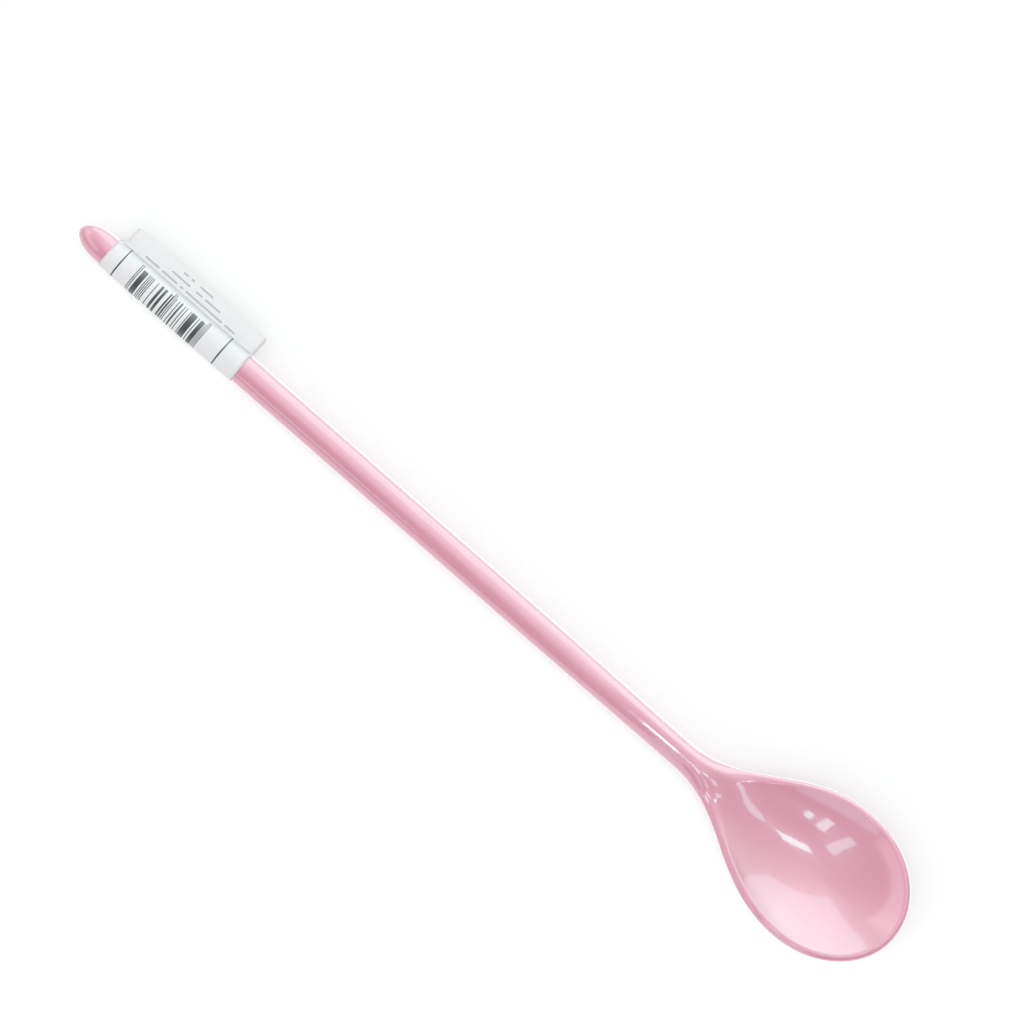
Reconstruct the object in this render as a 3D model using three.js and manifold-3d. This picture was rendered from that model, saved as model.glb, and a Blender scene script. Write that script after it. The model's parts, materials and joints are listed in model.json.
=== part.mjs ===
// A long-handled spoon: one glossy moulding with a round handle that flares into an oval bowl,
// and a paper label wrapped round the end of the handle. The label's two tails are stuck to each
// other beside the handle, as a small flag that bends at its crease.
//
// Millimetres, +Z up. +X runs from the end of the handle to the nose of the bowl, and the flag
// is on the +Y side. The origin is on the flat under the bowl's deepest place. The spoon lies on
// the plane z = 0, on that flat and on the lower edge of the label.

import * as THREE from 'three';
import { mergeVertices } from 'three/addons/utils/BufferGeometryUtils.js';
import Module from 'manifold-3d';

const { lerp, clamp } = THREE.MathUtils;

// Handle
const SPOON_LENGTH = 300;
const HANDLE_DIAMETER = 9;
const HANDLE_END_LENGTH = 8.7;
const TAPER_LENGTH = 70;
const NECK_WIDTH = 8.3;
const NECK_HEIGHT = 8.2;
const ARCH_RISE = 1.2;
const ARCH_BEFORE_NECK = 42;
const ARCH_LENGTH = 50;

// Bowl
const BOWL_LENGTH = 77.6;
const BOWL_WIDTH = 44.6;
const NOSE_LENGTH = 26.3;
const BOWL_DEPTH = 7.2;
const WALL = 2.8;
const LIP_INSET = 0.3;
const RIM_RISE = 4.15;
const RIM_BEFORE_NECK = 4;
const RIM_RISE_LENGTH = 50;
const FLARE_AT_NECK = 19.9;
const FLARE_AT_BOWL = 22.6;
const DEEPEST_FROM_NOSE = 25;
const DISH_POWER = 2;
const BROW_FROM_NECK = 9;
const BROW_ROUND = 1.6;
const KEEL_BEFORE_NECK = 8;
const SHELL_LENGTH = 28;
const REST_FLAT_DEPTH = 0.3;

// Label
const LABEL_FROM_END = 10.6;
const LABEL_LENGTH = 48.8;
const SHEET = 0.12;
const ADHESIVE = 0.04;
const COAT_CLEARANCE = 0.03;
const CREASE_RADIUS = 0.8;
const CREASE_GAP = 0.5;
const FLAG_REACH = 11.1;
const FLAG_INSET = 1.6;
const FLAG_CORNER = 1;
const FLAG_ADHESIVE_MARGIN = 0.5;

// Steps of the meshes
const END_STEPS = 6;
const HANDLE_STEP = 16;
const TAPER_STEP = 9;
const BOWL_STEPS = 34;
const SIDE_STEPS = 16;
const LIP_STEPS = 5;
const WALL_CROWDING = 1.7;
const BAND_STEPS = 48;
const CREASE_STEPS = 6;

const NECK_AT = SPOON_LENGTH - BOWL_LENGTH;
const TAPER_AT = NECK_AT - TAPER_LENGTH;
const WIDEST_AT = SPOON_LENGTH - NOSE_LENGTH;
const DEEPEST_AT = SPOON_LENGTH - DEEPEST_FROM_NOSE;
const BROW_AT = NECK_AT + BROW_FROM_NECK;
const KEEL_AT = NECK_AT - KEEL_BEFORE_NECK;
const HANDLE_RADIUS = HANDLE_DIAMETER / 2;

const UP = new THREE.Vector3(0, 0, 1);
const wasm = await Module();
wasm.setup();

// Rises from 0 to 1 along half a cosine wave, level at both ends.
const ease = (t) => (1 - Math.cos(Math.PI * clamp(t, 0, 1))) / 2;

// How full the handle is at a place: nothing at its very end, 1 past the rounded end.
function endRound(at) {
  const toGo = Math.max(0, 1 - at / HANDLE_END_LENGTH);
  return Math.sqrt(1 - toGo * toGo);
}

function handleHalf(at, neckSize) {
  const taper = ease((at - TAPER_AT) / TAPER_LENGTH);
  return endRound(at) * lerp(HANDLE_RADIUS, neckSize / 2, taper);
}

// Heights from the straight handle's axis. The handle arches up a little towards the neck, and its
// sides rise into the bowl's rim, which is level with the handle's top.
const archHeight = (at) => ARCH_RISE * ease((at - NECK_AT + ARCH_BEFORE_NECK) / ARCH_LENGTH);
const rimHeight = (at) => RIM_RISE * ease((at - NECK_AT + RIM_BEFORE_NECK) / RIM_RISE_LENGTH);

// Height of the upper side along the middle of the spoon. It is the top of the handle, and past a
// rounded brow on the neck an arc down to the deepest place.
function floorHeight(at) {
  const topAt = (place) => archHeight(place) + handleHalf(place, NECK_HEIGHT);
  const toGo = Math.max(0, (DEEPEST_AT - at) / (DEEPEST_AT - BROW_AT));
  const arc = lerp(RIM_RISE - BOWL_DEPTH, topAt(BROW_AT), toGo ** 2);
  const top = topAt(at);
  return (top + arc - Math.hypot(top - arc, BROW_ROUND)) / 2;
}

// Height of the lower side along the middle of the spoon.
function keelHeight(at) {
  const drop = ease((at - KEEL_AT) / (DEEPEST_AT - KEEL_AT));
  return lerp(archHeight(at) - handleHalf(at, NECK_HEIGHT), RIM_RISE - BOWL_DEPTH - WALL, drop);
}

// Plan outline of one side of the bowl, from the neck to the nose.
function bowlOutline() {
  const half = BOWL_WIDTH / 2;
  const neckHalf = NECK_WIDTH / 2;
  const outline = new THREE.Path();
  outline.moveTo(NECK_AT, neckHalf);
  outline.bezierCurveTo(
    NECK_AT + FLARE_AT_NECK, neckHalf,
    WIDEST_AT - FLARE_AT_BOWL, half,
    WIDEST_AT, half,
  );
  outline.absellipse(WIDEST_AT, 0, NOSE_LENGTH, half, Math.PI / 2, 0, true);
  return outline;
}

// Middle of the wall in one half section, from the middle of the spoon out to its edge. It is an
// even dish in the bowl and almost level in the handle.
class HalfSection extends THREE.Curve {
  constructor(centre, edge, shell) {
    super();
    this.centre = centre;
    this.edge = edge;
    this.shell = shell;
    this.middleHalf = (floorHeight(centre) - keelHeight(centre)) / 2;
    this.lipHalf = Math.min(this.middleHalf, WALL / 2);
  }

  // A section that leans forward hangs from the spoon's middle line beside it, so that the two
  // halves meet there without a crease.
  getPoint(out, target = new THREE.Vector3()) {
    const beside = lerp(this.centre, this.edge.x, out * (1 - out));
    const hang = (floorHeight(beside) + keelHeight(beside)) / 2;
    return target.set(
      lerp(this.centre, this.edge.x, out),
      this.edge.y * out,
      lerp(hang, rimHeight(this.edge.x), out ** DISH_POWER),
    );
  }

  // Points out from the middle, each with half the thickness there. The handle's are spread
  // evenly round an ellipse, and the bowl's are gathered towards its rounded lip.
  sample() {
    const length = this.getLength();
    const round = lerp(length, WALL / 2, this.shell);
    const flatSteps = SIDE_STEPS - LIP_STEPS;
    return Array.from({ length: SIDE_STEPS + 1 }, (_, step) => {
      const evenShare = Math.sin((step / SIDE_STEPS) * Math.PI / 2);
      const lipTurn = ((step - flatSteps) / LIP_STEPS) * Math.PI / 2;
      const shellShare = step < flatSteps
        ? (1 - round / length) * (1 - (1 - step / flatSteps) ** WALL_CROWDING)
        : 1 - (round / length) * (1 - Math.sin(lipTurn));
      const share = lerp(evenShare, shellShare, this.shell);
      const inRound = clamp((round - (1 - share) * length) / round, 0, 1);
      const thick = lerp(this.middleHalf, this.lipHalf, ease(share) * this.shell);
      return { middle: this.getPointAt(share), half: thick * Math.sqrt(1 - inRound * inRound) };
    });
  }
}

function handleSections() {
  const places = [];
  for (let step = 1; step <= END_STEPS; step += 1) {
    places.push(HANDLE_END_LENGTH * (1 - Math.cos((step / END_STEPS) * Math.PI / 2)));
  }
  const addRun = (from, to, stepLength) => {
    const steps = Math.max(1, Math.round((to - from) / stepLength));
    for (let step = 1; step <= steps; step += 1) places.push(lerp(from, to, step / steps));
  };
  addRun(HANDLE_END_LENGTH, TAPER_AT, HANDLE_STEP);
  addRun(TAPER_AT, NECK_AT, TAPER_STEP);
  return places.map((at) => new HalfSection(at, new THREE.Vector2(at, handleHalf(at, NECK_WIDTH)), 0));
}

// The bowl's sections fan out: their inner ends stop at the deepest place while their outer ends
// go on round the nose. Inner and outer ends start at the same pace, square to the handle.
function bowlSections() {
  const outline = bowlOutline();
  const pace = outline.getLength() / (DEEPEST_AT - NECK_AT);
  return Array.from({ length: BOWL_STEPS }, (_, index) => {
    const share = (index + 1) / BOWL_STEPS;
    const centre = lerp(NECK_AT, DEEPEST_AT, 1 - (1 - share) ** pace);
    const edge = outline.getPoint(share);
    const along = outline.getTangent(share);
    const shell = ease((edge.x - NECK_AT) / SHELL_LENGTH);
    edge.add(new THREE.Vector2(along.y, -along.x).multiplyScalar(LIP_INSET * shell));
    if (share === 1) edge.y = 0;
    return new HalfSection(centre, edge, shell);
  });
}

const mirrored = (point) => new THREE.Vector3(point.x, -point.y, point.z);

// Upper and lower points of each half section: straight above and below the middle in the handle,
// and square to the middle of the wall in the bowl.
function skinRows(sections) {
  const samples = sections.map((section) => section.sample());
  const middleAt = (row, step) => samples[row][step].middle;
  return samples.map((row, rowIndex) => {
    const last = rowIndex === samples.length - 1;
    return row.map(({ middle, half }, step) => {
      const normal = UP.clone();
      const { shell } = sections[rowIndex];
      if (shell > 0) {
        const ahead = last ? mirrored(middleAt(rowIndex - 1, step)) : middleAt(rowIndex + 1, step);
        const along = ahead.clone().sub(middleAt(rowIndex - 1, step));
        const outer = middleAt(rowIndex, Math.min(step + 1, SIDE_STEPS));
        const inner = step === 0 ? mirrored(outer) : middleAt(rowIndex, step - 1);
        const across = outer.clone().sub(inner);
        const square = along.cross(across);
        if (square.lengthSq() > 0) normal.lerp(square.normalize(), shell).normalize();
      }
      return {
        upper: middle.clone().addScaledVector(normal, half),
        lower: middle.clone().addScaledVector(normal, -half),
      };
    });
  });
}

// A full loop round one section: over the top from +Y to -Y, and back underneath.
function loopPoints(row) {
  const upper = row.map((pair) => pair.upper);
  const lower = row.map((pair) => pair.lower);
  const inward = (side) => side.slice(0, SIDE_STEPS).reverse();
  return [
    ...upper.slice().reverse(),
    ...upper.slice(1).map(mirrored),
    ...inward(lower).map(mirrored),
    ...lower.slice(1, SIDE_STEPS),
  ];
}

// A closed skin from the point at the handle's end through the loops to the folded one at the nose.
function loftGeometry(tip, loops) {
  const count = loops[0].length;
  const points = [tip, ...loops.flat()];
  const indices = [];
  const indexOf = (loop, step) => 1 + loop * count + (step % count);
  for (let step = 0; step < count; step += 1) indices.push(0, indexOf(0, step + 1), indexOf(0, step));
  for (let loop = 0; loop + 1 < loops.length; loop += 1) {
    for (let step = 0; step < count; step += 1) {
      const [a, b] = [indexOf(loop, step), indexOf(loop, step + 1)];
      const [c, d] = [indexOf(loop + 1, step), indexOf(loop + 1, step + 1)];
      const shorter = points[a].distanceTo(points[d]) < points[b].distanceTo(points[c]);
      if (shorter) indices.push(a, b, d, a, d, c);
      else indices.push(a, b, c, b, d, c);
    }
  }
  const geometry = new THREE.BufferGeometry().setFromPoints(points);
  geometry.setIndex(indices);
  return geometry;
}

function toSolid(geometry) {
  const bare = geometry.clone();
  bare.deleteAttribute('normal');
  bare.deleteAttribute('uv');
  const merged = mergeVertices(bare, 1e-4);
  const triangles = [];
  const index = merged.getIndex().array;
  for (let at = 0; at < index.length; at += 3) {
    const corners = index.slice(at, at + 3);
    if (new Set(corners).size === 3) triangles.push(...corners);
  }
  return new wasm.Manifold(new wasm.Mesh({
    numProp: 3,
    vertProperties: new Float32Array(merged.getAttribute('position').array),
    triVerts: new Uint32Array(triangles),
  }));
}

function toGeometry(solid) {
  const mesh = solid.getMesh();
  const geometry = new THREE.BufferGeometry();
  geometry.setAttribute('position', new THREE.BufferAttribute(mesh.vertProperties, 3));
  geometry.setIndex(new THREE.BufferAttribute(mesh.triVerts, 1));
  return geometry;
}

// Label sizes that follow from the handle: the sheet lies on its adhesive coat.
const BAND_INNER = HANDLE_RADIUS + ADHESIVE + 2 * COAT_CLEARANCE;
const BAND_OUTER = BAND_INNER + SHEET;
const PLY_INNER = ADHESIVE / 2 + COAT_CLEARANCE;

// Where the sheet leaves the round and turns out into the flag.
function creaseArc() {
  const roundMiddle = BAND_INNER + SHEET / 2;
  const plyMiddle = PLY_INNER + SHEET / 2;
  const angle = Math.asin((plyMiddle + CREASE_RADIUS) / (roundMiddle + CREASE_RADIUS));
  return {
    angle,
    out: (roundMiddle + CREASE_RADIUS) * Math.cos(angle),
    up: plyMiddle + CREASE_RADIUS,
  };
}

function arcPoints(centreX, centreY, radius, from, to, steps) {
  return new THREE.EllipseCurve(centreX, centreY, radius, radius, from, to, to < from).getPoints(steps);
}

// One face of the wrapped sheet, from the upper lip of the crease round the handle to the lower.
function bandFace(radius, creaseRadius) {
  const { angle, out, up } = creaseArc();
  const full = 2 * Math.PI;
  return [
    ...arcPoints(out, up, creaseRadius, 1.5 * Math.PI, Math.PI + angle, CREASE_STEPS),
    ...arcPoints(0, 0, radius, angle, full - angle, BAND_STEPS).slice(1),
    ...arcPoints(out, -up, creaseRadius, Math.PI - angle, Math.PI / 2, CREASE_STEPS).slice(1),
  ];
}

function bandShape() {
  const outer = bandFace(BAND_OUTER, CREASE_RADIUS - SHEET / 2);
  const inner = bandFace(BAND_INNER, CREASE_RADIUS + SHEET / 2);
  return new THREE.Shape([...outer, ...inner.reverse()]);
}

function bandAdhesiveShape() {
  const { angle } = creaseArc();
  const inner = HANDLE_RADIUS + COAT_CLEARANCE;
  const outer = inner + ADHESIVE;
  const end = 2 * Math.PI - angle;
  return new THREE.Shape([
    ...arcPoints(0, 0, outer, angle, end, BAND_STEPS),
    ...arcPoints(0, 0, inner, end, angle, BAND_STEPS),
  ]);
}

// Outline of the flag seen from above, with the two free corners rounded.
function flagShape(margin) {
  const from = FLAG_INSET + margin;
  const to = LABEL_LENGTH - margin;
  const root = creaseArc().out + CREASE_GAP + margin;
  const reach = FLAG_REACH - margin;
  const corner = FLAG_CORNER;
  const shape = new THREE.Shape();
  shape.moveTo(from, root);
  shape.lineTo(to, root);
  shape.lineTo(to, reach - corner);
  shape.absarc(to - corner, reach - corner, corner, 0, Math.PI / 2);
  shape.lineTo(from + corner, reach);
  shape.absarc(from + corner, reach - corner, corner, Math.PI / 2, Math.PI);
  return shape;
}

const plastic = new THREE.MeshStandardMaterial({ color: 0xe2a6bb, roughness: 0.2, metalness: 0 });
const paper = new THREE.MeshStandardMaterial({ color: 0xf4f4f5, roughness: 0.5, metalness: 0 });
const glue = new THREE.MeshStandardMaterial({ color: 0xe9e4d2, roughness: 0.4, metalness: 0 });

function namedMesh(name, geometry, material) {
  const mesh = new THREE.Mesh(geometry, material);
  mesh.name = name;
  return mesh;
}

// A profile in the Y-Z plane drawn out along the handle.
function wrapMesh(name, shape, material) {
  const geometry = new THREE.ExtrudeGeometry(shape, { depth: LABEL_LENGTH, bevelEnabled: false });
  const mesh = namedMesh(name, geometry, material);
  mesh.rotation.set(Math.PI / 2, Math.PI / 2, 0);
  return mesh;
}

function flagMesh(name, margin, thickness, bottom, material) {
  const options = { depth: thickness, bevelEnabled: false, curveSegments: 3 };
  const mesh = namedMesh(name, new THREE.ExtrudeGeometry(flagShape(margin), options), material);
  mesh.position.z = bottom;
  return mesh;
}

function makeLabel() {
  const label = new THREE.Group();
  label.add(
    wrapMesh('label_band', bandShape(), paper),
    wrapMesh('band_adhesive', bandAdhesiveShape(), glue),
    flagMesh('flag_front_ply', 0, SHEET, PLY_INNER, paper),
    flagMesh('flag_rear_ply', 0, SHEET, -PLY_INNER - SHEET, paper),
    flagMesh('flag_adhesive', FLAG_ADHESIVE_MARGIN, ADHESIVE, -ADHESIVE / 2, glue),
  );
  label.position.x = LABEL_FROM_END;
  return label;
}

// The spoon leans so that it lies on the lower edge of its label and on the bowl. The place under
// the bowl is the one that the table's line from the label reaches first.
function restingPlace(sections) {
  const labelEdge = new THREE.Vector2(LABEL_FROM_END, -BAND_OUTER);
  const drop = (point) => (labelEdge.y - point.y) / (point.x - labelEdge.x);
  const underside = sections
    .filter((section) => section.shell > 0)
    .map((section) => new THREE.Vector2(section.centre, keelHeight(section.centre) + REST_FLAT_DEPTH));
  const place = underside.reduce((best, point) => (drop(point) > drop(best) ? point : best));
  return { place, lean: Math.atan(drop(place)) };
}

const sections = [...handleSections(), ...bowlSections()];
const { place, lean } = restingPlace(sections);

const spoon = new THREE.Group();
spoon.rotation.y = -lean;
spoon.position.set(-place.x, 0, -place.y).applyEuler(spoon.rotation);
spoon.updateMatrix();

// Everything below the table's plane, in the leaning spoon's own axes.
const belowTable = new THREE.BoxGeometry(BOWL_LENGTH, BOWL_WIDTH, BOWL_DEPTH);
belowTable.translate(0, 0, -BOWL_DEPTH / 2).applyMatrix4(spoon.matrix.clone().invert());

const moulding = loftGeometry(new THREE.Vector3(), skinRows(sections).map(loopPoints));
const restingMoulding = toGeometry(toSolid(moulding).subtract(toSolid(belowTable)));
spoon.add(namedMesh('spoon_body', restingMoulding, plastic), makeLabel());

const object = new THREE.Group();
object.add(spoon);

export default object;
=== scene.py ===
"""A long-handled glossy spoon with a folded wrap label, lying on a white table.

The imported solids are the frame. The moulding is made again here from the same formulas with a
finer skin, and the label as one continuous sheet that bends at its crease.
"""

import json
import math

import bpy
import numpy as np
from mathutils import Matrix, Vector


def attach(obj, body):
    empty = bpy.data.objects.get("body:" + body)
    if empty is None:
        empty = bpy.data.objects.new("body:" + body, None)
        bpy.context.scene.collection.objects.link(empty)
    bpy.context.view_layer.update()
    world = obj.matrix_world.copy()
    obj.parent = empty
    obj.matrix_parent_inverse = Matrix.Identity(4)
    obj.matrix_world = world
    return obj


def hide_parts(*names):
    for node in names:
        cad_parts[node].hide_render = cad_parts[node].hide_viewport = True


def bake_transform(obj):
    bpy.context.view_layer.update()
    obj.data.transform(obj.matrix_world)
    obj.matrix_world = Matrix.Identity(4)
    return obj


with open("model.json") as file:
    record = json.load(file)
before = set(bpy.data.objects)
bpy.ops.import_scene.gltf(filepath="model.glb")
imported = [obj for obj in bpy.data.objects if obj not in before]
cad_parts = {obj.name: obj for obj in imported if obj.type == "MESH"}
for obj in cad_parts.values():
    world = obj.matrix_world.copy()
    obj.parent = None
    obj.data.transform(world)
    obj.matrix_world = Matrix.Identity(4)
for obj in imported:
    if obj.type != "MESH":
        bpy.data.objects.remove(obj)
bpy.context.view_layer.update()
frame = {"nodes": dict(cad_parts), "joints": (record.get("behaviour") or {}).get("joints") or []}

MM_PER_M = 1000

# Spoon, in millimetres along the handle's axis from its end, as in the part's source
SPOON_LENGTH = 300
HANDLE_DIAMETER = 9
HANDLE_END_LENGTH = 8.7
TAPER_LENGTH = 70
NECK_WIDTH = 8.3
NECK_HEIGHT = 8.2
ARCH_RISE = 1.2
ARCH_BEFORE_NECK = 42
ARCH_LENGTH = 50
BOWL_LENGTH = 77.6
BOWL_WIDTH = 44.6
NOSE_LENGTH = 26.3
BOWL_DEPTH = 7.2
WALL = 2.8
LIP_INSET = 0.3
RIM_RISE = 4.15
RIM_BEFORE_NECK = 4
RIM_RISE_LENGTH = 50
FLARE_AT_NECK = 19.9
FLARE_AT_BOWL = 22.6
DEEPEST_FROM_NOSE = 25
DISH_POWER = 2
BROW_FROM_NECK = 9
BROW_ROUND = 1.6
KEEL_BEFORE_NECK = 8
SHELL_LENGTH = 28

# Label
LABEL_FROM_END = 10.6
LABEL_LENGTH = 48.8
SHEET = 0.12
ADHESIVE = 0.04
COAT_CLEARANCE = 0.03
CREASE_RADIUS = 0.8
FLAG_REACH = 11.1
FLAG_INSET = 1.6
FLAG_CORNER = 1

# How the spoon lies, from the axis that the flag bends about: its lean, and the end of its own axis
HINGE = frame["joints"][0]
LABEL_MIDDLE = LABEL_FROM_END + LABEL_LENGTH / 2
LEAN = math.atan2(HINGE["axis"][2], HINGE["axis"][0])
AXIS_END = (
    HINGE["pos_m"][0] * MM_PER_M - LABEL_MIDDLE * math.cos(LEAN),
    HINGE["pos_m"][2] * MM_PER_M - LABEL_MIDDLE * math.sin(LEAN),
)

NECK_AT = SPOON_LENGTH - BOWL_LENGTH
TAPER_AT = NECK_AT - TAPER_LENGTH
WIDEST_AT = SPOON_LENGTH - NOSE_LENGTH
DEEPEST_AT = SPOON_LENGTH - DEEPEST_FROM_NOSE
BROW_AT = NECK_AT + BROW_FROM_NECK
KEEL_AT = NECK_AT - KEEL_BEFORE_NECK
HANDLE_RADIUS = HANDLE_DIAMETER / 2
BAND_MIDDLE = HANDLE_RADIUS + ADHESIVE + 2 * COAT_CLEARANCE + SHEET / 2
PLY_MIDDLE = ADHESIVE / 2 + COAT_CLEARANCE + SHEET / 2
CREASE_ANGLE = math.asin((PLY_MIDDLE + CREASE_RADIUS) / (BAND_MIDDLE + CREASE_RADIUS))
CREASE_OUT = (BAND_MIDDLE + CREASE_RADIUS) * math.cos(CREASE_ANGLE)

# Steps of the skin
END_STEPS = 20
HANDLE_STEPS = 30
TAPER_STEPS = 40
BOWL_STEPS = 150
SIDE_STEPS = 44
LIP_STEPS = 14
WALL_CROWDING = 1.7
CURVE_TABLE = 400
CORNER_STEPS = 8
PLY_STEPS = 8
CREASE_STEPS = 12
BAND_STEPS = 96
LABEL_STEPS = 48

# Bend of the label's flag, where the sheet turns from one body to the other
CREASE_FADE = 1.2

# Print on the label, in millimetres along it and round it from the top of the handle
PRINT_UV = "print"
RULES_AT = (4.55, 41.7)
RULE_WIDTH = 0.45
RULE_SPAN = (-14, 6.6)
BARS_FROM = 9.6
MODULE = 0.267
HALF_MODULES = 46
GUARD = 3
GUARD_BARS = (0, 2)
MODULE_SLACK = 0.5
BAR_CHANCE = 0.5
BARS_TOP = 1.8
GUARDS_TOP = 3.1
BARS_BOTTOM = -14.5
STROKE = 0.55
STROKE_CELL = 1.1
STROKE_GAP_CHANCE = 0.18
STROKE_ROW_SEED = 100
STROKE_ROWS = ((8.27, 8.2, 41.0), (10.1, 15.2, 34.1), (11.99, 19.1, 29.9))

# Colours, linear
MELAMINE_DEEP = (0.64, 0.26, 0.36)
MELAMINE_PALE = (0.67, 0.285, 0.385)
PAPER_GREY = (0.73, 0.725, 0.745)
PAPER_WHITE = (0.77, 0.765, 0.78)
INK = (0.02, 0.02, 0.025)
FAINT_INK = 0.45
GLUE_THICK = (0.76, 0.72, 0.56)
GLUE_THIN = (0.84, 0.82, 0.72)

# Grain of the materials: sizes and heights in metres, and what the noise is spread over
NOISE_MIDDLE = (0.3, 0.7)
MELAMINE_CLOUD = 0.03
CLOUD_TINT = (0, 0.8)
MELAMINE_GRAIN = 0.0006
GRAIN_TINT = (0, 0.2)
HANDLED_SIZE = 0.012
HANDLED_ROUGHNESS = (0.16, 0.26)
SCUFF_SIZE = 0.0004
SCUFF_STRETCH = (30, 1, 1)
SCUFF_RANGE = (0.62, 0.75)
SCUFF_ROUGHNESS = (0, 0.08)
FLOW_SIZE = 0.007
FLOW_HEIGHT = 0.00003
MELAMINE_IOR = 1.6
COAT_IOR = 1.6
COAT_ROUGHNESS = 0.05
FIBRE_SIZE = 0.0003
FIBRE_STRETCH = (4, 1, 1)
FIBRE_HEIGHT = 0.000012
FIBRE_STRENGTH = 0.6
PAPER_CLOUD = 0.006
PAPER_RANGE = (0.15, 0.4)
PAPER_ROUGHNESS = (0.36, 0.46)
PAPER_IOR = 1.75
GLUE_SIZE = 0.002
GLUE_ROUGHNESS = (0.3, 0.5)
GLUE_HEIGHT = 0.00001

# Sockets of a colour mix
MIX_FACTOR = 0
MIX_FIRST = 6
MIX_SECOND = 7
MIX_RESULT = 2

# Camera
VIEW_TILT = math.radians(14)
VIEW_DISTANCE = 1.6
PIXELS_PER_MM = 3.598
IMAGE_SIZE = 1024
AIM_ALONG = 142.3
AIM_BESIDE = 19.54
TURN_COS = 0.751226
TURN_SIN = 0.660045
SENSOR = 36
CAMERA_RANGE = 20

# Stage, in metres
FLOOR_SIZE = 8
FLOOR_DROP = 0.0002
FLOOR_COLOUR = (0.58, 0.6, 0.598)
# The table's glow for the camera is painted light: stronger on the side away from the flag, where it
# washes out the object's shadow, and weaker on the flag's side
FLOOR_PAINTED_GLOW_FADE = (-0.03, 0.02)
FLOOR_PAINTED_GLOW = (0.64, 0.42)
# The table's glow in the gloss is a painted reflection, brighter on the flag's side
FLOOR_PAINTED_REFLECTION_FADE = (-0.01, 0.012)
FLOOR_PAINTED_REFLECTION = (0.9, 2.0)
ROOM_TINT = (1, 1, 1)
AMBIENT_SIDE = (0, -0.35, 0.937)
AMBIENT_CURVE = 2
ROOM_AMBIENT = (0, 1.5)
FLAG_SIDE = (0, 1, 0)
REFLECTED_FADE = (-0.8, 1)
REFLECTED_CURVE = 1.2
ROOM_REFLECTED = (0.32, 3.2)
NOSE_FADE = (-0.55, -0.1)
NOSE_SHARE = (0.45, 1.1)
HORIZON_FADE = (0.05, 0.25)
HORIZON_SHARE = (0.65, 1)
HANDLE_SIDE = (-1, 0, 0)
PATCH_FADE = (0.1, 0.2)
PATCH_TOP = (0.7, 0.66)
PATCH_REFLECTED = 1.2
PATCH_SIDE = (0.2, 0.4)
PATCH_FOOT = (0.15, 0.4)
CARD_TINT = (0.5, 1, 0.95)
GRID_TINT = (0.7, 1, 1)
RADIANCE_TO_WATTS = 4

# Upright cards that only the gloss shows: corners in plan, lowest and highest edge, radiance
UPRIGHT_CARDS = {
    "window_left": ((0.512, 1.624), (-0.176, 0.729), (0.02, 1.231), 1.15),
    "window_right": ((-0.176, 0.729), (-1.72, 1.553), (0.02, 1.231), 1.15),
    "low_side": ((-0.05, -0.5), (0.3, -0.5), (0.01, 0.42), 1.0),
}
# Cards that face a spot of the object: the spot in millimetres, the direction and the distance from it
# in metres, then the card's long side, size and radiance
FACING_CARDS = {
    "ceiling_strip": (
        (-12, 3, 3.5), (0.284, -0.004, 0.949), 1, (-0.151, -0.212, 0.044), (0.25, 0.072), 5.5),
    "side_strip": ((-2, 11, 5), (0.056, -0.476, 0.856), 1, (0.0845, 0.312, 0.17), (0.36, 0.1), 2.7),
    "panes_left": ((-14, 11, 6), (0.33, -0.53, 0.775), 1, (0, 0.83, 0.55), (0.12, 0.04), 5.5),
    "panes_right": ((-9, 11.5, 6), (0.238, -0.56, 0.79), 1, (0, 0.82, 0.57), (0.22, 0.055), 4.2),
    "neck_strip": ((-29, 2.2, 6.3), (0.49, 0.125, 0.863), 1, (0.054, 0.1, -0.045), (0.13, 0.07), 2.6),
    "handle_strip": ((-220, -3, 9), (-0.02, -0.952, 0.304), 0.8, (1, 0, 0), (0.15, 0.18), 1.2),
}
# The same, with a grid, so that they are seen only from ahead: the last value is its angle in degrees
GRID_CARDS = {
    "over_handle_side": ((-195, 0, 9), (0, 0.42, 0.907), 0.12, (1, 0, 0), (0.23, 0.12), 0.8, 50),
    "over_handle": ((-195, 0, 9), (0, -0.07, 1), 0.12, (1, 0, 0), (0.23, 0.12), 0.6, 50),
    "neck_streak": ((-60, -1.4, 10), (0.01, -0.6, 0.8), 0.15, (1, 0, 0), (0.018, 0.07), 10, 30),
}

UPWARD = (0, 0, 1)
UP = np.array(UPWARD)
MIRROR = np.array([1, -1, 1])
TINY = 1e-12


def ease(t):
    return (1 - np.cos(np.pi * np.clip(t, 0, 1))) / 2


def lerp(a, b, t):
    return a + (b - a) * t


def to_world(points):
    """Points of the spoon's own axes, in millimetres, to metres in the shared frame."""
    x, y, z = np.moveaxis(np.asarray(points, float), -1, 0)
    cos, sin = math.cos(LEAN), math.sin(LEAN)
    world = np.stack([AXIS_END[0] + x * cos - z * sin, y, AXIS_END[1] + x * sin + z * cos], -1)
    return world / MM_PER_M


def handle_half(at, neck_size):
    to_go = np.maximum(0, 1 - at / HANDLE_END_LENGTH)
    taper = ease((at - TAPER_AT) / TAPER_LENGTH)
    return np.sqrt(1 - to_go**2) * lerp(HANDLE_RADIUS, neck_size / 2, taper)


def arch_height(at):
    return ARCH_RISE * ease((at - NECK_AT + ARCH_BEFORE_NECK) / ARCH_LENGTH)


def rim_height(at):
    return RIM_RISE * ease((at - NECK_AT + RIM_BEFORE_NECK) / RIM_RISE_LENGTH)


def top_height(at):
    return arch_height(at) + handle_half(at, NECK_HEIGHT)


def floor_height(at):
    to_go = np.maximum(0, (DEEPEST_AT - at) / (DEEPEST_AT - BROW_AT))
    arc = lerp(RIM_RISE - BOWL_DEPTH, top_height(BROW_AT), to_go**2)
    top = top_height(at)
    return (top + arc - np.hypot(top - arc, BROW_ROUND)) / 2


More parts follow.
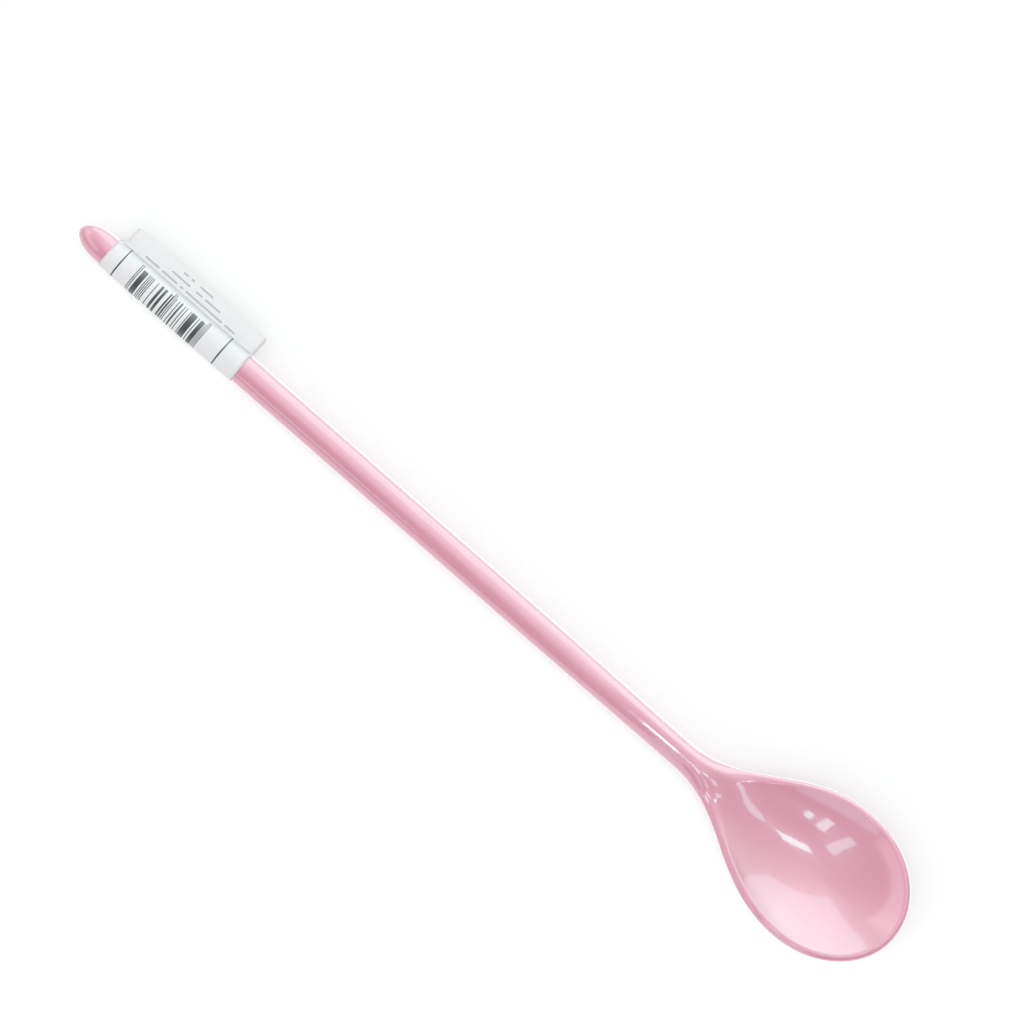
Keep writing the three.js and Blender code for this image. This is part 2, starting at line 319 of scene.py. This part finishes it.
def keel_height(at):
    drop = ease((at - KEEL_AT) / (DEEPEST_AT - KEEL_AT))
    return lerp(arch_height(at) - handle_half(at, NECK_HEIGHT), RIM_RISE - BOWL_DEPTH - WALL, drop)


def bowl_outline():
    """Plan outline of one side of the bowl, from the neck to the nose, as many points."""
    half, neck_half = BOWL_WIDTH / 2, NECK_WIDTH / 2
    t = np.linspace(0, 1, CURVE_TABLE)[:, None]
    corners = np.array([
        [NECK_AT, neck_half],
        [NECK_AT + FLARE_AT_NECK, neck_half],
        [WIDEST_AT - FLARE_AT_BOWL, half],
        [WIDEST_AT, half],
    ])
    weights = np.concatenate([(1 - t)**3, 3 * (1 - t)**2 * t, 3 * (1 - t) * t**2, t**3], 1)
    turn = np.linspace(math.pi / 2, 0, CURVE_TABLE)[1:]
    nose = np.stack([WIDEST_AT + NOSE_LENGTH * np.cos(turn), half * np.sin(turn)], 1)
    return np.concatenate([weights @ corners, nose])


def sections():
    """Centre, edge and shell share of each half section, from the handle's end to the nose."""
    end = HANDLE_END_LENGTH * (1 - np.cos(np.linspace(0, math.pi / 2, END_STEPS + 1)[1:]))
    straight = np.linspace(HANDLE_END_LENGTH, TAPER_AT, HANDLE_STEPS + 1)[1:]
    taper = np.linspace(TAPER_AT, NECK_AT, TAPER_STEPS + 1)[1:]
    handle = np.concatenate([end, straight, taper])

    outline = bowl_outline()
    run = np.concatenate([[0], np.cumsum(np.linalg.norm(np.diff(outline, axis=0), axis=1))])
    share = np.arange(1, BOWL_STEPS + 1) / BOWL_STEPS
    edge_x = np.interp(share * run[-1], run, outline[:, 0])
    edge_y = np.interp(share * run[-1], run, outline[:, 1])
    along_x, along_y = np.gradient(edge_x), np.gradient(edge_y)
    length = np.hypot(along_x, along_y)
    along_x, along_y = along_x / length, along_y / length
    along_x[-1], along_y[-1] = 0, -1
    pace = run[-1] / (DEEPEST_AT - NECK_AT)
    centre = lerp(NECK_AT, DEEPEST_AT, 1 - (1 - share)**pace)
    shell = ease((edge_x - NECK_AT) / SHELL_LENGTH)
    edge_x = edge_x + along_y * LIP_INSET * shell
    edge_y = edge_y - along_x * LIP_INSET * shell
    edge_y[-1] = 0
    return (
        np.concatenate([handle, centre]),
        np.concatenate([handle, edge_x]),
        np.concatenate([handle_half(handle, NECK_WIDTH), edge_y]),
        np.concatenate([np.zeros_like(handle), shell]),
    )


def wall_middle(centre, edge_x, edge_y, out):
    """Middle of the wall at a share of the way out from the spoon's middle to its edge."""
    rise = out**DISH_POWER
    beside = lerp(centre, edge_x, out * (1 - out))
    hang = (floor_height(beside) + keel_height(beside)) / 2
    height = lerp(hang, rim_height(edge_x), rise)
    return np.stack([lerp(centre, edge_x, out), edge_y * out, height], -1)


def skin_rows():
    """Upper and lower points of each half section, from the middle out to the edge."""
    centre, edge_x, edge_y, shell = sections()
    table = np.linspace(0, 1, CURVE_TABLE)
    columns = [values[:, None] for values in (centre, edge_x, edge_y)]
    curve = wall_middle(*columns, table[None, :])
    run = np.cumsum(np.linalg.norm(np.diff(curve, axis=1), axis=2), axis=1)
    run = np.concatenate([np.zeros((len(centre), 1)), run], 1)
    length = run[:, -1:]
    lip = lerp(length, WALL / 2, shell[:, None])

    step = np.arange(SIDE_STEPS + 1)[None, :]
    flat = SIDE_STEPS - LIP_STEPS
    even_share = np.sin(step / SIDE_STEPS * math.pi / 2)
    lip_turn = (step - flat) / LIP_STEPS * math.pi / 2
    before_lip = 1 - np.clip(1 - step / flat, 0, 1)**WALL_CROWDING
    on_wall = (1 - lip / length) * before_lip
    on_lip = 1 - lip / length * (1 - np.sin(lip_turn))
    share = lerp(even_share, np.where(step < flat, on_wall, on_lip), shell[:, None])

    in_lip = np.clip((lip - (1 - share) * length) / lip, 0, 1)
    middle_half = (floor_height(centre) - keel_height(centre))[:, None] / 2
    lip_half = np.minimum(middle_half, WALL / 2)
    half = lerp(middle_half, lip_half, ease(share) * shell[:, None]) * np.sqrt(1 - in_lip**2)

    middle = np.empty(share.shape + (3,))
    for row in range(len(centre)):
        out = np.interp(share[row] * run[row, -1], run[row], table)
        middle[row] = wall_middle(centre[row], edge_x[row], edge_y[row], out)
    ahead = np.concatenate([middle[1:], middle[-2:-1] * MIRROR])
    behind = np.concatenate([middle[:1], middle[:-1]])
    outer = np.concatenate([middle[:, 1:], middle[:, -1:]], 1)
    inner = np.concatenate([middle[:, 1:2] * MIRROR, middle[:, :-1]], 1)
    normal = np.cross(ahead - behind, outer - inner)
    size = np.linalg.norm(normal, axis=-1, keepdims=True)
    normal = np.where(size > TINY, normal / np.maximum(size, TINY), UP)
    normal = lerp(UP, normal, shell[:, None, None])
    normal /= np.linalg.norm(normal, axis=-1, keepdims=True)
    return middle + normal * half[..., None], middle - normal * half[..., None]


def new_mesh(name, points, faces, face_materials=None):
    mesh = bpy.data.meshes.new(name)
    mesh.from_pydata([tuple(point) for point in points], [], faces)
    mesh.polygons.foreach_set("use_smooth", [True] * len(mesh.polygons))
    if face_materials:
        mesh.polygons.foreach_set("material_index", face_materials)
    piece = bpy.data.objects.new(name, mesh)
    bpy.context.scene.collection.objects.link(piece)
    return piece


def make_moulding():
    upper, lower = skin_rows()
    loops = np.concatenate([
        upper[:, ::-1],
        upper[:, 1:] * MIRROR,
        (lower[:, :-1] * MIRROR)[:, ::-1],
        lower[:, 1:-1],
    ], 1)
    rows, count = loops.shape[:2]
    points = to_world(np.concatenate([[[0, 0, 0]], loops.reshape(-1, 3)]))
    points[:, 2] = np.maximum(points[:, 2], 0)

    def corner(row, step):
        # The last loop is folded flat: its two sides share their points.
        step %= count
        if row == rows - 1:
            half = 2 * SIDE_STEPS
            side = half * (step > half)
            step = side + min(step - side, half + side - step)
        return 1 + row * count + step

    faces = [(0, corner(0, step + 1), corner(0, step)) for step in range(count)]
    for row in range(rows - 1):
        for step in range(count):
            near = [corner(row, step), corner(row, step + 1)]
            far = [corner(row + 1, step + 1), corner(row + 1, step)]
            faces.append(list(dict.fromkeys(near + far)))
    used = sorted({index for face in faces for index in face})
    renumber = {old: new for new, old in enumerate(used)}
    faces = [[renumber[index] for index in face] for face in faces]
    return new_mesh("spoon_moulding", points[used], faces)


def arc(centre, radius, start, end, steps):
    turn = np.linspace(start, end, steps + 1)
    out = np.stack([np.cos(turn), np.sin(turn)], 1)
    return np.array(centre) + radius * out, out


def sheet_section():
    """The sheet across the handle, from the front ply's free edge round to the rear ply's.

    Gives its middle line in (y, z), the direction that its printed face looks in, and the
    distance along it from the top of the handle, positive towards the front ply.
    """
    corner = FLAG_REACH - FLAG_CORNER * (1 - np.cos(np.linspace(0, math.pi / 2, CORNER_STEPS + 1)))
    flat = np.linspace(FLAG_REACH - FLAG_CORNER, CREASE_OUT, PLY_STEPS + 1)[1:]
    ply_y = np.concatenate([corner, flat])
    ply = np.stack([ply_y, np.full_like(ply_y, PLY_MIDDLE)], 1)
    ply_normal = np.tile([0.0, 1.0], (len(ply), 1))
    crease_up = PLY_MIDDLE + CREASE_RADIUS
    crease, crease_in = arc(
        (CREASE_OUT, crease_up), CREASE_RADIUS, 1.5 * math.pi, math.pi + CREASE_ANGLE, CREASE_STEPS)
    band, band_out = arc(
        (0, 0), BAND_MIDDLE, CREASE_ANGLE, 2 * math.pi - CREASE_ANGLE, BAND_STEPS)
    upside_down = np.array([1, -1])
    points = np.concatenate([
        ply, crease[1:], band[1:], (crease * upside_down)[-2::-1], (ply * upside_down)[-2::-1]])
    normals = np.concatenate([
        ply_normal, -crease_in[1:], band_out[1:],
        (-crease_in * upside_down)[-2::-1], (ply_normal * upside_down)[-2::-1]])
    run = np.concatenate([[0], np.cumsum(np.linalg.norm(np.diff(points, axis=0), axis=1))])
    share_to_top = (math.pi / 2 - CREASE_ANGLE) / (2 * (math.pi - CREASE_ANGLE))
    steps_to_top = len(ply) + len(crease) - 2 + share_to_top * BAND_STEPS
    top = np.interp(steps_to_top, np.arange(len(run)), run)
    return points, normals, top - run


def sheet_ends(section):
    """Where each line of the sheet along the handle starts and ends, in the label's own length."""
    reach = section[:, 0]
    to_flag = ease((reach - CREASE_OUT) / CREASE_FADE + 0.5)
    in_corner = np.clip(reach - FLAG_REACH + FLAG_CORNER, 0, FLAG_CORNER)
    rounding = FLAG_CORNER - np.sqrt(FLAG_CORNER**2 - in_corner**2)
    return FLAG_INSET * to_flag + rounding, LABEL_LENGTH - rounding


def make_label():
    section, normals, along_sheet = sheet_section()
    starts, ends = sheet_ends(section)
    share = np.linspace(0, 1, LABEL_STEPS + 1)
    label_x = lerp(starts[:, None], ends[:, None], share[None, :])

    def face_points(side):
        moved = section + side * normals * SHEET / 2
        yz = np.repeat(moved[:, None, :], len(share), axis=1)
        return np.concatenate([LABEL_FROM_END + label_x[..., None], yz], -1).reshape(-1, 3)

    points = to_world(np.concatenate([face_points(1), face_points(-1)]))
    rows, columns = label_x.shape

    def corner(row, column, back=0):
        return back * rows * columns + row * columns + column

    def edge_face(first, second):
        return [corner(*first), corner(*first, 1), corner(*second, 1), corner(*second)]

    printed, bare = [], []
    for row in range(rows - 1):
        for column in range(columns - 1):
            quad = [(row, column), (row + 1, column), (row + 1, column + 1), (row, column + 1)]
            printed.append([corner(*place) for place in quad])
            bare.append([corner(*place, back=1) for place in reversed(quad)])
    for row in range(rows - 1):
        for column, first, second in ((0, row, row + 1), (columns - 1, row + 1, row)):
            bare.append(edge_face((first, column), (second, column)))
    for column in range(columns - 1):
        for row, first, second in ((0, column + 1, column), (rows - 1, column, column + 1)):
            bare.append(edge_face((row, first), (row, second)))

    label = new_mesh("wrap_label", points, printed + bare, [0] * len(printed) + [1] * len(bare))
    flat = np.stack([label_x, np.repeat(along_sheet[:, None], columns, 1)], -1).reshape(-1, 2)
    flat = np.concatenate([flat, flat])
    print_layer = label.data.uv_layers.new(name=PRINT_UV)
    corners = np.empty(len(label.data.loops), int)
    label.data.loops.foreach_get("vertex_index", corners)
    print_layer.data.foreach_set("uv", flat[corners].ravel())
    return label


class Shading:
    """A node tree that is filled by short calls. A value is a socket or a number."""

    def __init__(self, tree):
        self.tree = tree

    def node(self, kind, **settings):
        node = self.tree.nodes.new(kind)
        for name, value in settings.items():
            setattr(node, name, value)
        return node

    def put(self, socket, value):
        if isinstance(value, bpy.types.NodeSocket):
            self.tree.links.new(value, socket)
        else:
            socket.default_value = value

    def math(self, operation, *values, clamp=False):
        node = self.node("ShaderNodeMath", operation=operation, use_clamp=clamp)
        for socket, value in zip(node.inputs, values):
            self.put(socket, value)
        return node.outputs[0]

    def inside(self, value, low, high):
        above = self.math("GREATER_THAN", value, low)
        below = self.math("LESS_THAN", value, high)
        return self.math("MULTIPLY", above, below)

    def any_of(self, *values):
        total = values[0]
        for value in values[1:]:
            total = self.math("MAXIMUM", total, value)
        return total

    def ramp(self, value, source, target, smooth=False):
        node = self.node("ShaderNodeMapRange", interpolation_type="SMOOTHSTEP" if smooth else "LINEAR")
        for socket, number in zip(node.inputs, (value, *source, *target)):
            self.put(socket, number)
        return node.outputs[0]

    def mix(self, factor, first, second):
        node = self.node("ShaderNodeMix", data_type="RGBA")
        self.put(node.inputs[MIX_FACTOR], factor)
        for index, colour in ((MIX_FIRST, first), (MIX_SECOND, second)):
            self.put(node.inputs[index], (*colour, 1) if isinstance(colour, tuple) else colour)
        return node.outputs[MIX_RESULT]

    def noise(self, place, size, detail=2.0, stretch=(1, 1, 1)):
        """Noise whose grain is about the given size in metres."""
        mapping = self.node("ShaderNodeMapping")
        self.put(mapping.inputs["Vector"], place)
        mapping.inputs["Scale"].default_value = tuple(1 / (size * factor) for factor in stretch)
        node = self.node("ShaderNodeTexNoise")
        self.put(node.inputs["Vector"], mapping.outputs[0])
        node.inputs["Scale"].default_value = 1
        node.inputs["Detail"].default_value = detail
        return node.outputs["Fac"]

    def bump(self, height, distance, strength=1.0):
        node = self.node("ShaderNodeBump")
        self.put(node.inputs["Height"], height)
        node.inputs["Distance"].default_value = distance
        node.inputs["Strength"].default_value = strength
        return node.outputs["Normal"]


def new_material(name):
    material = bpy.data.materials.new(name)
    material.use_nodes = True
    shader = material.node_tree.nodes["Principled BSDF"]
    return material, Shading(material.node_tree), shader


def make_melamine():
    material, shading, shader = new_material("melamine")
    place = shading.node("ShaderNodeTexCoord").outputs["Object"]
    cloud = shading.noise(place, MELAMINE_CLOUD)
    grain = shading.noise(place, MELAMINE_GRAIN, detail=1)
    cloud_tint = shading.ramp(cloud, NOISE_MIDDLE, CLOUD_TINT)
    grain_tint = shading.ramp(grain, NOISE_MIDDLE, GRAIN_TINT)
    tint = shading.math("ADD", cloud_tint, grain_tint)
    shading.put(shader.inputs["Base Color"], shading.mix(tint, MELAMINE_DEEP, MELAMINE_PALE))
    handled = shading.noise(place, HANDLED_SIZE, detail=4)
    scuffs = shading.noise(place, SCUFF_SIZE, detail=3, stretch=SCUFF_STRETCH)
    scuffs = shading.ramp(scuffs, SCUFF_RANGE, SCUFF_ROUGHNESS)
    roughness = shading.ramp(handled, NOISE_MIDDLE, HANDLED_ROUGHNESS)
    shading.put(shader.inputs["Roughness"], shading.math("ADD", roughness, scuffs))
    flow = shading.noise(place, FLOW_SIZE, detail=1)
    for name in ("Normal", "Coat Normal"):
        shading.put(shader.inputs[name], shading.bump(flow, FLOW_HEIGHT))
    shader.inputs["IOR"].default_value = MELAMINE_IOR
    shader.inputs["Coat Weight"].default_value = 1
    shader.inputs["Coat Roughness"].default_value = COAT_ROUGHNESS
    shader.inputs["Coat IOR"].default_value = COAT_IOR
    return material


def printed_ink(shading):
    """Where the label has ink, and where it has faint ink, in millimetres of the flat sheet."""
    flat = shading.node("ShaderNodeUVMap", uv_map=PRINT_UV).outputs["UV"]
    split = shading.node("ShaderNodeSeparateXYZ")
    shading.put(split.inputs[0], flat)
    along, round_it = split.outputs["X"], split.outputs["Y"]

    rules = shading.any_of(*(
        shading.inside(along, middle - RULE_WIDTH / 2, middle + RULE_WIDTH / 2) for middle in RULES_AT))
    rules = shading.math("MULTIPLY", rules, shading.inside(round_it, *RULE_SPAN))

    from_bars = shading.math("SUBTRACT", along, BARS_FROM)
    module = shading.math("FLOOR", shading.math("DIVIDE", from_bars, MODULE))
    chance = shading.node("ShaderNodeTexWhiteNoise", noise_dimensions="1D")
    shading.put(chance.inputs["W"], module)
    bars = shading.math("GREATER_THAN", chance.outputs["Value"], BAR_CHANCE)
    runs = ((GUARD + 1, HALF_MODULES - 1), (HALF_MODULES + GUARD + 1, 2 * HALF_MODULES - 1))
    bars = shading.math("MULTIPLY", bars, shading.any_of(*(
        shading.inside(module, first - MODULE_SLACK, last + MODULE_SLACK) for first, last in runs)))
    bars = shading.math("MULTIPLY", bars, shading.inside(round_it, BARS_BOTTOM, BARS_TOP))
    starts = (0, HALF_MODULES, 2 * HALF_MODULES)
    guard_modules = [start + step for start in starts for step in GUARD_BARS]
    guards = shading.any_of(*(
        shading.inside(module, place - MODULE_SLACK, place + MODULE_SLACK) for place in guard_modules))
    guards = shading.math("MULTIPLY", guards, shading.inside(round_it, BARS_BOTTOM, GUARDS_TOP))

    word = shading.math("FLOOR", shading.math("DIVIDE", along, STROKE_CELL))
    strokes = []
    for number, (middle, first, last) in enumerate(STROKE_ROWS):
        chance = shading.node("ShaderNodeTexWhiteNoise", noise_dimensions="1D")
        shading.put(chance.inputs["W"], shading.math("ADD", word, STROKE_ROW_SEED * number))
        row = shading.math("GREATER_THAN", chance.outputs["Value"], STROKE_GAP_CHANCE)
        row = shading.math("MULTIPLY", row, shading.inside(along, first, last))
        tall = shading.inside(round_it, middle - STROKE / 2, middle + STROKE / 2)
        strokes.append(shading.math("MULTIPLY", row, tall))
    return shading.any_of(rules, bars, guards), shading.any_of(*strokes)


def make_paper(name, printed):
    material, shading, shader = new_material(name)
    place = shading.node("ShaderNodeTexCoord").outputs["Object"]
    fibres = shading.noise(place, FIBRE_SIZE, detail=3, stretch=FIBRE_STRETCH)
    cloud = shading.noise(place, PAPER_CLOUD)
    tint = shading.math("MULTIPLY", fibres, cloud)
    colour = shading.mix(shading.ramp(tint, PAPER_RANGE, (0, 1)), PAPER_GREY, PAPER_WHITE)
    if printed:
        ink, faint = printed_ink(shading)
        colour = shading.mix(shading.math("MULTIPLY", faint, FAINT_INK), colour, INK)
        colour = shading.mix(ink, colour, INK)
    shading.put(shader.inputs["Base Color"], colour)
    shading.put(shader.inputs["Roughness"], shading.ramp(cloud, NOISE_MIDDLE, PAPER_ROUGHNESS))
    shading.put(shader.inputs["Normal"], shading.bump(fibres, FIBRE_HEIGHT, FIBRE_STRENGTH))
    shader.inputs["IOR"].default_value = PAPER_IOR
    return material


def make_adhesive():
    material, shading, shader = new_material("adhesive")
    place = shading.node("ShaderNodeTexCoord").outputs["Object"]
    coat = shading.noise(place, GLUE_SIZE, detail=3)
    tint = shading.ramp(coat, NOISE_MIDDLE, (0, 1))
    shading.put(shader.inputs["Base Color"], shading.mix(tint, GLUE_THICK, GLUE_THIN))
    shading.put(shader.inputs["Roughness"], shading.ramp(coat, NOISE_MIDDLE, GLUE_ROUGHNESS))
    shading.put(shader.inputs["Normal"], shading.bump(coat, GLUE_HEIGHT))
    return material


def make_camera():
    """Looks down on the table, tilted a little from the side away from the flag."""
    along = Vector((1, 0, 0))
    beside = Vector((0, math.cos(VIEW_TILT), math.sin(VIEW_TILT)))
    back = Vector((0, -math.sin(VIEW_TILT), math.cos(VIEW_TILT)))
    right = TURN_COS * along + TURN_SIN * beside
    up = -TURN_SIN * along + TURN_COS * beside
    aim = Vector(to_world([AIM_ALONG, 0, 0])) + beside * AIM_BESIDE / MM_PER_M
    data = bpy.data.cameras.new("camera")
    data.sensor_width = SENSOR
    data.lens = SENSOR * VIEW_DISTANCE / (IMAGE_SIZE / PIXELS_PER_MM / MM_PER_M)
    data.clip_end = CAMERA_RANGE
    camera = bpy.data.objects.new("camera", data)
    camera.matrix_world = Matrix((right, up, back)).transposed().to_4x4()
    camera.location = aim + back * VIEW_DISTANCE
    bpy.context.scene.collection.objects.link(camera)
    bpy.context.scene.camera = camera


def make_floor():
    """A white table with a glow of its own, which is seen by the camera and in the gloss."""
    half = FLOOR_SIZE / 2
    square = [(-half, -half, 0), (half, -half, 0), (half, half, 0), (-half, half, 0)]
    floor = new_mesh("floor", square, [(0, 1, 2, 3)])
    floor.location.z = -FLOOR_DROP
    material = bpy.data.materials.new("table")
    material.use_nodes = True
    shading = Shading(material.node_tree)
    nodes = material.node_tree.nodes
    nodes.remove(nodes["Principled BSDF"])
    matt = shading.node("ShaderNodeBsdfDiffuse")
    matt.inputs["Color"].default_value = (*FLOOR_COLOUR, 1)
    place = shading.node("ShaderNodeSeparateXYZ")
    shading.put(place.inputs[0], shading.node("ShaderNodeNewGeometry").outputs["Position"])
    path = shading.node("ShaderNodeLightPath")
    # Painted light: the glow is stronger on the side away from the flag and washes out the object's
    # shadow there
    white = shading.ramp(place.outputs["Y"], FLOOR_PAINTED_GLOW_FADE, FLOOR_PAINTED_GLOW, smooth=True)
    white = shading.math("MULTIPLY", white, path.outputs["Is Camera Ray"])
    # Painted reflection: in the gloss the table glows brighter on the flag's side
    reflected = shading.ramp(place.outputs["Y"], FLOOR_PAINTED_REFLECTION_FADE, FLOOR_PAINTED_REFLECTION, smooth=True)
    reflected = shading.math("MULTIPLY", reflected, seen_in_gloss(shading, path))
    glow = shading.node("ShaderNodeEmission")
    shading.put(glow.inputs["Strength"], shading.math("ADD", white, reflected))
    both = shading.node("ShaderNodeAddShader")
    shading.put(both.inputs[0], matt.outputs[0])
    shading.put(both.inputs[1], glow.outputs[0])
    shading.put(nodes["Material Output"].inputs["Surface"], both.outputs[0])
    floor.data.materials.append(material)


def seen_in_gloss(shading, path):
    return shading.any_of(path.outputs["Is Glossy Ray"], path.outputs["Is Transmission Ray"])


def towards(shading, side):
    """How far the direction of a ray to the room points to a side, from -1 to 1."""
    facing = shading.node("ShaderNodeVectorMath", operation="DOT_PRODUCT")
    shading.put(facing.inputs[0], shading.node("ShaderNodeTexCoord").outputs["Generated"])
    facing.inputs[1].default_value = side
    return facing.outputs["Value"]


def make_world():
    """A white room with soft light from above and from the side away from the flag.

    In the gloss it is lighter on the flag's side and in a patch towards the handle's end, and dimmer
    towards the nose and at the horizon.
    """
    world = bpy.data.worlds.new("studio")
    bpy.context.scene.world = world
    world.use_nodes = True
    shading = Shading(world.node_tree)
    above = shading.ramp(towards(shading, AMBIENT_SIDE), (-1, 1), (0, 1))
    ambient = shading.ramp(shading.math("POWER", above, AMBIENT_CURVE), (0, 1), ROOM_AMBIENT)
    lighter = shading.ramp(towards(shading, FLAG_SIDE), REFLECTED_FADE, (0, 1))
    reflected = shading.ramp(shading.math("POWER", lighter, REFLECTED_CURVE), (0, 1), ROOM_REFLECTED)
    share = shading.ramp(towards(shading, HANDLE_SIDE), NOSE_FADE, NOSE_SHARE)
    reflected = shading.math("MULTIPLY", reflected, share)
    patch = shading.ramp(towards(shading, UPWARD), PATCH_TOP, (0, PATCH_REFLECTED))
    limits = (
        (HANDLE_SIDE, PATCH_FADE, (0, 1)),
        (FLAG_SIDE, PATCH_SIDE, (1, 0)),
        (UPWARD, PATCH_FOOT, (0, 1)),
    )
    for side, fade, shares in limits:
        patch = shading.math("MULTIPLY", patch, shading.ramp(towards(shading, side), fade, shares))
    reflected = shading.math("ADD", reflected, patch)
    horizon = shading.ramp(towards(shading, UPWARD), HORIZON_FADE, HORIZON_SHARE)
    reflected = shading.math("MULTIPLY", reflected, horizon)
    path = shading.node("ShaderNodeLightPath")
    gloss = shading.math("MULTIPLY", reflected, seen_in_gloss(shading, path))
    light = shading.math("MULTIPLY", ambient, path.outputs["Is Diffuse Ray"])
    strength = shading.math("ADD", shading.math("ADD", gloss, light), path.outputs["Is Camera Ray"])
    background = world.node_tree.nodes["Background"]
    background.inputs["Color"].default_value = (*ROOM_TINT, 1)
    shading.put(background.inputs["Strength"], strength)


def add_card(name, centre, side, up, size, radiance, tint=CARD_TINT, spread=math.pi):
    """A rectangular lamp that is seen in the gloss and adds no other light."""
    back = Vector(side).cross(Vector(up))
    data = bpy.data.lights.new(name, "AREA")
    data.shape = "RECTANGLE"
    data.size, data.size_y = size
    data.color = tint
    data.spread = spread
    half = spread / 2
    gathered = math.tan(half) / (math.tan(half) - half)
    data.energy = radiance * RADIANCE_TO_WATTS * size[0] * size[1] / gathered
    card = bpy.data.objects.new(name, data)
    card.matrix_world = Matrix((side, up, back)).transposed().to_4x4()
    card.location = centre
    card.visible_diffuse = False
    card.visible_camera = False
    bpy.context.scene.collection.objects.link(card)


def facing(spot, direction, distance, long_side):
    """Centre, side and up of a card that faces a spot of the object."""
    away = Vector(direction).normalized()
    side = Vector(long_side)
    side = (side - side.dot(away) * away).normalized()
    return Vector(spot) / MM_PER_M + away * distance, side, away.cross(side)


def add_cards():
    for name, (start, end, (low, high), radiance) in UPRIGHT_CARDS.items():
        run = Vector(end) - Vector(start)
        side = Vector((*run.normalized(), 0))
        centre = (*((Vector(start) + Vector(end)) / 2), (low + high) / 2)
        add_card(name, centre, side, Vector(UPWARD), (run.length, high - low), radiance)
    for name, (*aim, size, radiance) in FACING_CARDS.items():
        add_card(name, *facing(*aim), size, radiance)
    for name, (*aim, size, radiance, spread) in GRID_CARDS.items():
        add_card(name, *facing(*aim), size, radiance, GRID_TINT, math.radians(spread))


moulding = make_moulding()
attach(moulding, "spoon")
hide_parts("spoon_body")
moulding.data.materials.append(make_melamine())

label = make_label()
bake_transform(label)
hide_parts("label_band", "flag_front_ply", "flag_rear_ply")
label.data.materials.append(make_paper("label_print", printed=True))
label.data.materials.append(make_paper("label_paper", printed=False))

glue = make_adhesive()
for name in ("band_adhesive", "flag_adhesive"):
    frame["nodes"][name].data.materials.clear()
    frame["nodes"][name].data.materials.append(glue)

make_floor()
make_world()
add_cards()
make_camera()
bpy.context.scene.view_settings.view_transform = "Standard"
